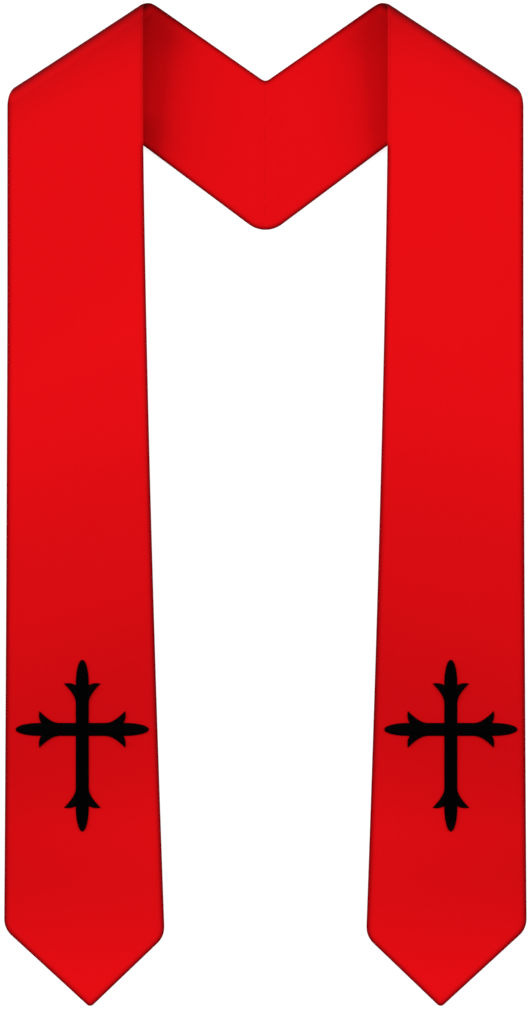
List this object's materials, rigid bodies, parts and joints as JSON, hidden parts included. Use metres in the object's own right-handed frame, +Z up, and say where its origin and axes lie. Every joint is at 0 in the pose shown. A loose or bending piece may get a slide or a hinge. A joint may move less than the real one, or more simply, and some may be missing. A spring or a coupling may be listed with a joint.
{
  "type": "choir stole",
  "caption": "Long satin band in two mirrored halves, laid flat and folded forward at the shoulders, with pointed ends, a V at the back neck and a black cross on each front.",
  "frame": {"origin": "on the surface that the stole lies on, under the middle of its outline", "axes": "+Y from the points of the fronts to the neck, +X to the right as seen from above, +Z up"},
  "size_m": [0.4046, 0.7778, 0.0203],
  "materials": {
    "satin": "red polyester satin, fine weave with a soft sheen",
    "lining_satin": "the same red satin, inside out",
    "embroidery": "black embroidery thread in satin stitch"
  },
  "bodies": {
    "root": {"band_face_left": "satin", "band_face_right": "satin", "band_lining_left": "lining_satin", "band_lining_right": "lining_satin", "cross_left": "embroidery", "cross_right": "embroidery"}
  },
  "joints": []
}
